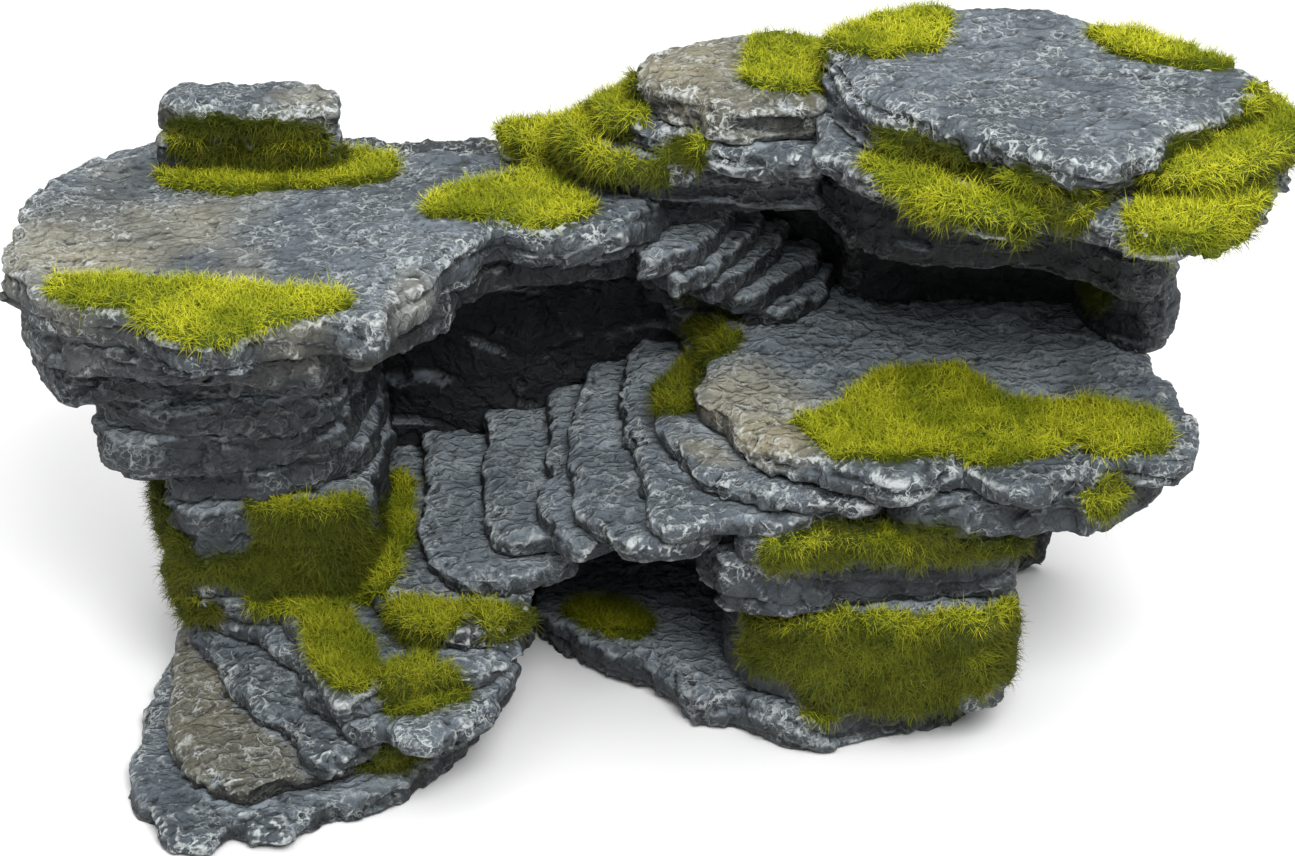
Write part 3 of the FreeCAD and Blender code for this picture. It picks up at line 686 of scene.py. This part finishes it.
def covered_faces(node, spots):
    """Which faces of which slabs a patch of moss covers, with their unit normals and areas."""
    tree = cad_tree([node])
    low, high = (np.array(corner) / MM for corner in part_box(node))
    found = []
    for name, (_, skin) in rocks.items():
        centres = skin.points[skin.faces].mean(axis=1)
        near = np.all((centres > low - SEARCH_MARGIN) & (centres < high + SEARCH_MARGIN), axis=1)
        for centre, radii, _ in spots:
            near |= np.all(np.abs(centres - centre) < radii * 1.2, axis=1)
        chosen = np.flatnonzero(near)
        if not len(chosen):
            continue
        normals = skin.face_normals()[chosen]
        area = np.linalg.norm(normals, axis=1)
        normals = normals / np.maximum(area, TINY)[:, None]
        cover = coverage(centres[chosen], tree, low, high, spots)
        keep = (cover > COVERED) & (normals[:, 2] > STEEPEST)
        chosen, normals, area = chosen[keep], normals[keep], area[keep]
        if not len(chosen):
            continue
        keep = open_to_air(centres[chosen], normals)
        if keep.any():
            found.append((name, chosen[keep], normals[keep], area[keep]))
    return found


def fibres(roots, normals):
    """Bent, tapering blades: points, faces and the numbers stored on them."""
    count = len(roots)
    side = np.cross(normals, random.normal(size=(count, 3)))
    side /= np.maximum(np.linalg.norm(side, axis=1, keepdims=True), TINY)
    lean = np.cross(side, normals)
    length = random.uniform(2.2, 4.8, (count, 1))
    tilt = random.uniform(0.4, 2.6, (count, 1))
    swirl = random.normal(0, 0.35, (count, 3))
    way = normals + lean * tilt + swirl
    way /= np.linalg.norm(way, axis=1, keepdims=True)
    bend = lean * random.uniform(0.2, 0.9, (count, 1)) - [0, 0, 0.25] + random.normal(0, 0.3, (count, 3))
    middle = roots + way * length * 0.5
    tip = middle + (way + bend) * length * 0.42
    wide = side * random.uniform(0.06, 0.11, (count, 1))
    points = np.stack([roots - wide, roots + wide, middle + wide * 0.8, middle - wide * 0.8, tip], axis=1)
    first = np.arange(count)[:, None] * FIBRE_POINTS
    quads = first + [0, 1, 2, 3]
    tips = first + [3, 2, 4]
    along = np.tile([0.0, 0.0, 0.55, 0.55, 1.0], count)
    own = np.repeat(random.uniform(0, 1, count), FIBRE_POINTS)
    return points.reshape(-1, 3), quads, tips, along, own


# Patches whose flock is painted darker all over: partly a deeper green flock, partly painted shade for
# patches that lie in shade.
DEEP_GREEN_AND_PAINTED_SHADE = {
    "moss_foot": 0.32,
    "moss_pillar": 0.22,
    "moss_cave_mouth": 0.45,
    "moss_small_stack": 0.15,
    "moss_top_steps": 0.15,
    "moss_base_plate": 0.3,
}


def gloom(skin, node):
    """How dark the flock of a patch is painted at each point: painted shade on sides that see little sky,
    plus the patch's darker flock, which is partly painted shade.
    """
    return skin.shelter * (1 - skin.top) + DEEP_GREEN_AND_PAINTED_SHADE.get(node, 0)


def shell_mesh(bottom, top, faces):
    """Close a sheet of faces into a thin solid."""
    count = len(bottom)
    edges = np.concatenate([faces[:, [i, (i + 1) % 4]] for i in range(4)])
    keys = edges[:, 0].astype(np.int64) * count + edges[:, 1]
    back = edges[:, 1].astype(np.int64) * count + edges[:, 0]
    border = edges[~np.isin(keys, back)]
    walls = np.stack([border[:, 1] + count, border[:, 0] + count, border[:, 0], border[:, 1]], axis=1)
    solid = np.vstack([faces[:, ::-1], faces + count, walls])
    return np.vstack([bottom, top]), solid


class Patch:
    """The mesh of one patch of moss, gathered part by part."""

    def __init__(self):
        self.points = []
        self.faces = []
        self.fields = {"along": [], "own": [], "shelter": []}
        self.start = 0

    def add(self, points, faces, **fields):
        """Add a part: its points, its lists of faces and the numbers stored on its points."""
        self.points.append(points)
        for group in faces:
            self.faces.extend((group + self.start).tolist())
        for name, values in fields.items():
            self.fields[name].append(values)
        self.start += len(points)

    def mesh(self, name):
        """All parts as one mesh."""
        mesh = bpy.data.meshes.new(name)
        mesh.from_pydata((np.vstack(self.points) * MM).tolist(), [], self.faces)
        for field, values in self.fields.items():
            write_field(mesh, field, np.concatenate(values))
        return mesh


def add_cushion(patch, skin, dim, chosen):
    """Add the low mat that the fibres stand in, as a closed shell over the covered faces."""
    used, faces = np.unique(skin.faces[chosen], return_inverse=True)
    normals = skin.normals()[used]
    points = skin.points[used]
    lift = 1.3 + 0.6 * noise(points, 3.0, 91) + 0.7 * noise(points, 9.0, 92)
    shell, solid = shell_mesh(points - normals * 0.4, points + normals * lift[:, None], faces.reshape(-1, 4))
    # The mat takes the fibres' root colour: painted shade under the flock.
    along = np.full(len(shell), 0.12)
    own = np.full(len(shell), 0.3)
    patch.add(shell, [solid], along=along, own=own, shelter=np.tile(dim[used], 2))


def add_fibres(patch, skin, dim, chosen, normals, area):
    """Add fibres rooted at random all over the covered faces."""
    count = random.poisson(area * FIBRES_PER_SQUARE_MM * (1))
    pick = np.repeat(np.arange(len(chosen)), count)
    corners = skin.points[skin.faces[chosen[pick]]]
    u, v = random.uniform(0, 1, (2, len(pick), 1))
    spread = corners[:, 0] * (1 - u) * (1 - v) + corners[:, 1] * u * (1 - v)
    spread += corners[:, 2] * u * v + corners[:, 3] * (1 - u) * v
    root = spread + normals[pick] * random.uniform(0.2, 1.6, (len(pick), 1))
    blades, quads, tips, along, own = fibres(root, normals[pick])
    shade = np.repeat(dim[skin.faces[chosen[pick], 0]], FIBRE_POINTS)
    patch.add(blades, [quads, tips], along=along, own=own, shelter=shade)


def moss_piece(node, spots):
    """One patch of moss that stands for its CAD node."""
    found = covered_faces(node, spots)
    dims = {name: gloom(rocks[name][1], node) for name, *_ in found}
    patch = Patch()
    for name, chosen, _, _ in found:
        add_cushion(patch, rocks[name][1], dims[name], chosen)
    for name, chosen, normals, area in found:
        add_fibres(patch, rocks[name][1], dims[name], chosen, normals, area)
    piece = bpy.data.objects.new("flock_" + node, patch.mesh(node))
    bpy.context.collection.objects.link(piece)
    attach(piece, "root")
    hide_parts(node)
    return piece, found


# Where the moss spreads past its CAD patch, or leaves a part of it bare: shares of a node's box,
# and the oval's half-widths in millimetres.
EXTRA_MOSS = {
    "moss_foot": [
        bare("foot_course_6", (0.62, 0.30, 1.0), (17, 22, 8)),
        spot("foot_course_4", (0.72, 0.16, 1.0), (16, 14, 12)),
        spot("foot_course_2", (0.62, 0.17, 1.0), (15, 13, 9)),
        spot("foot_course_6", (0.30, 0.08, 0.9), (18, 9, 6)),
        spot("foot_course_6", (0.75, 0.10, 0.6), (14, 9, 5)),
    ],
    "moss_pillar": [
        bare("pillar", (0.27, 0.02, 0.85), (17, 14, 12)),
        bare("pillar", (0.30, 0.02, 0.05), (12, 14, 7)),
        spot("pillar", (0.97, 0.10, 0.3), (14, 12, 14)),
        spot("foot_course_6", (0.06, 0.55, 1.0), (7, 40, 7)),
        spot("pillar", (0.02, 0.20, 0.7), (10, 12, 12)),
        spot("pillar", (0.10, 0.10, -0.1), (16, 10, 12)),
    ],
    "moss_shoulder": [spot("shoulder", (0.85, 0.5, 1.0), (12, 16, 8))],
    "moss_top_steps": [
        spot("top_step_1", (0.12, 0.60, 1.0), (15, 20, 9)),
        spot("top_step_2", (0.10, 0.50, 1.0), (14, 20, 9)),
        spot("top_step_3", (0.10, 0.50, 0.9), (13, 18, 10)),
        spot("top_step_3", (0.35, 0.12, 0.5), (12, 9, 6)),
    ],
    "moss_deck": [
        spot("tower_course_4", (0.72, 0.03, 0.8), (7, 7, 6)),
        spot("rear_rock", (0.0, 0.25, 0.7), (9, 12, 12)),
        spot("rear_rock", (0.55, 0.25, 1.0), (10, 9, 5)),
    ],
    "moss_small_stack": [
        spot("small_stack_1", (0.5, 0.0, 0.0), (32, 11, 7)),
        spot("small_stack_1", (1.0, 0.2, 0.0), (18, 12, 6)),
        spot("small_stack_2", (0.45, 0.0, 0.25), (22, 6, 3.5)),
    ],
    "moss_cave_mouth": [spot("deck", (0.08, 0.72, 1.0), (15, 18, 12))],
    "moss_crown_left": [spot("crown", (0.05, 0.80, 0.8), (14, 14, 12))],
    "moss_ledge_left": [
        spot("ledge_upper", (0.22, 0.22, 0.6), (20, 16, 8)),
        spot("ledge_upper", (0.42, 0.04, 0.6), (20, 11, 8)),
        spot("ledge_lower", (0.22, 0.18, 1.0), (22, 16, 8)),
        spot("ledge_lower", (0.42, 0.06, 0.9), (20, 11, 8)),
    ],
    "moss_ledge_right": [
        spot("ledge_upper", (0.80, 0.14, 0.9), (22, 14, 9)),
        spot("ledge_upper", (0.95, 0.30, 0.9), (14, 20, 9)),
        spot("ledge_lower", (0.78, 0.06, 0.9), (22, 14, 10)),
        spot("ledge_upper", (0.93, 0.35, 0.9), (16, 22, 10)),
    ],
    "moss_under_deck": [spot("tower_course_3", (0.55, 0.02, 0.9), (44, 8, 7))],
    "moss_tower_front": [
        bare("tower_course_1", (0.05, 0.0, 0.1), (26, 14, 15)),
        bare("tower_course_1", (1.0, 0.0, 0.0), (26, 16, 13)),
    ],
}
flock = {node: moss_piece(node, EXTRA_MOSS.get(node, [])) for node in MOSS_NODES}


# ---------------------------------------------------------------- paint

STAIN_WIDTH = 1.6
STAIN_STRENGTH = 2.2
WARM_SPOTS = [
    spot("deck", (0.12, 0.30, 1.0), (32, 34, 10), 2.2),
    spot("platform", (0.08, 0.45, 1.0), (60, 60, 30), 0.65),
    spot("platform", (0.40, 0.20, 0.0), (40, 30, 20), 0.5),
    spot("shoulder", (0.15, 0.45, 0.9), (24, 24, 14), 0.7),
    spot("small_stack_2", (0.85, 0.3, 0.9), (16, 12, 10), 0.8),
]


def warmth(points):
    """Where the tan tint lies, from 0 to 1."""
    tint = np.zeros(len(points))
    for centre, radii, gain in WARM_SPOTS:
        share = np.linalg.norm((points - centre) / radii, axis=1)
        tint = np.maximum(tint, gain * (1 - share))
    return np.clip(tint + 0.35 * noise(points, 14, 601) * (tint > 0), 0, 1)


def paint_rock():
    """Store the warm tint and the green stain on every slab, then give it its material."""
    paints = {slot: slate_material(slot) for slot in PALETTES}
    green = {name: np.zeros(len(skin.points)) for name, (_, skin) in rocks.items()}
    for _, found in flock.values():
        for name, chosen, _, _ in found:
            green[name][rocks[name][1].faces[chosen].ravel()] = 1
    for name, (piece, skin) in rocks.items():
        stain = np.clip(skin.smoothed(green[name], STAIN_WIDTH) * STAIN_STRENGTH, 0, 1)
        write_field(piece.data, "algae", stain)
        write_field(piece.data, "warm", warmth(skin.points))
        piece.data.materials.clear()
        piece.data.materials.append(paints[SLOTS.get(name, "slate_resin")])


def paint_moss():
    """Give every patch the flock material."""
    material = moss_material()
    for piece, _ in flock.values():
        piece.data.materials.append(material)


paint_rock()
paint_moss()


# ---------------------------------------------------------------- stage

FLOOR_WIDTH = 6.0
CAMERA_ELEVATION = math.radians(30)
CAMERA_DISTANCE = 0.9
CAMERA_TARGET = Vector((0.001, -0.0015, 0.085))
SENSOR_WIDTH_MM = 36.0
LENS_MM = 96.3
WORLD_STRENGTH = 0.2


def add_floor():
    """A wide plain floor."""
    bpy.ops.mesh.primitive_plane_add(size=FLOOR_WIDTH)
    floor = bpy.context.object
    floor.name = "floor"
    floor.data.materials.append(floor_material())


def add_light(name, place, target, size, power):
    """A square soft light that faces the target."""
    data = bpy.data.lights.new(name, "AREA")
    data.size = size
    data.energy = power
    light = bpy.data.objects.new(name, data)
    light.location = place
    light.rotation_euler = (Vector(target) - Vector(place)).to_track_quat("-Z", "Y").to_euler()
    bpy.context.collection.objects.link(light)


def add_camera():
    """The photograph's view: straight on to the front, 30 degrees from above."""
    back = Vector((0, -math.cos(CAMERA_ELEVATION), math.sin(CAMERA_ELEVATION)))
    data = bpy.data.cameras.new("camera")
    data.sensor_width = SENSOR_WIDTH_MM
    data.lens = LENS_MM
    camera = bpy.data.objects.new("camera", data)
    camera.location = CAMERA_TARGET + back * CAMERA_DISTANCE
    camera.rotation_euler = (-back).to_track_quat("-Z", "Y").to_euler()
    bpy.context.collection.objects.link(camera)
    bpy.context.scene.camera = camera


def add_world():
    """Even, pale surroundings."""
    world = bpy.data.worlds.new("studio")
    world.use_nodes = True
    background = world.node_tree.nodes["Background"]
    background.inputs["Color"].default_value = (1, 1, 1, 1)
    background.inputs["Strength"].default_value = WORLD_STRENGTH
    bpy.context.scene.world = world


add_floor()
add_light("ceiling", place=(0.1, 0.05, 1.25), target=(0.1, 0.05, 0), size=2.6, power=30)
add_light("key", place=(0.2, -0.8, 1.0), target=(0, 0, 0.1), size=0.5, power=12)
add_camera()
add_world()
bpy.context.scene.view_settings.view_transform = "Standard"
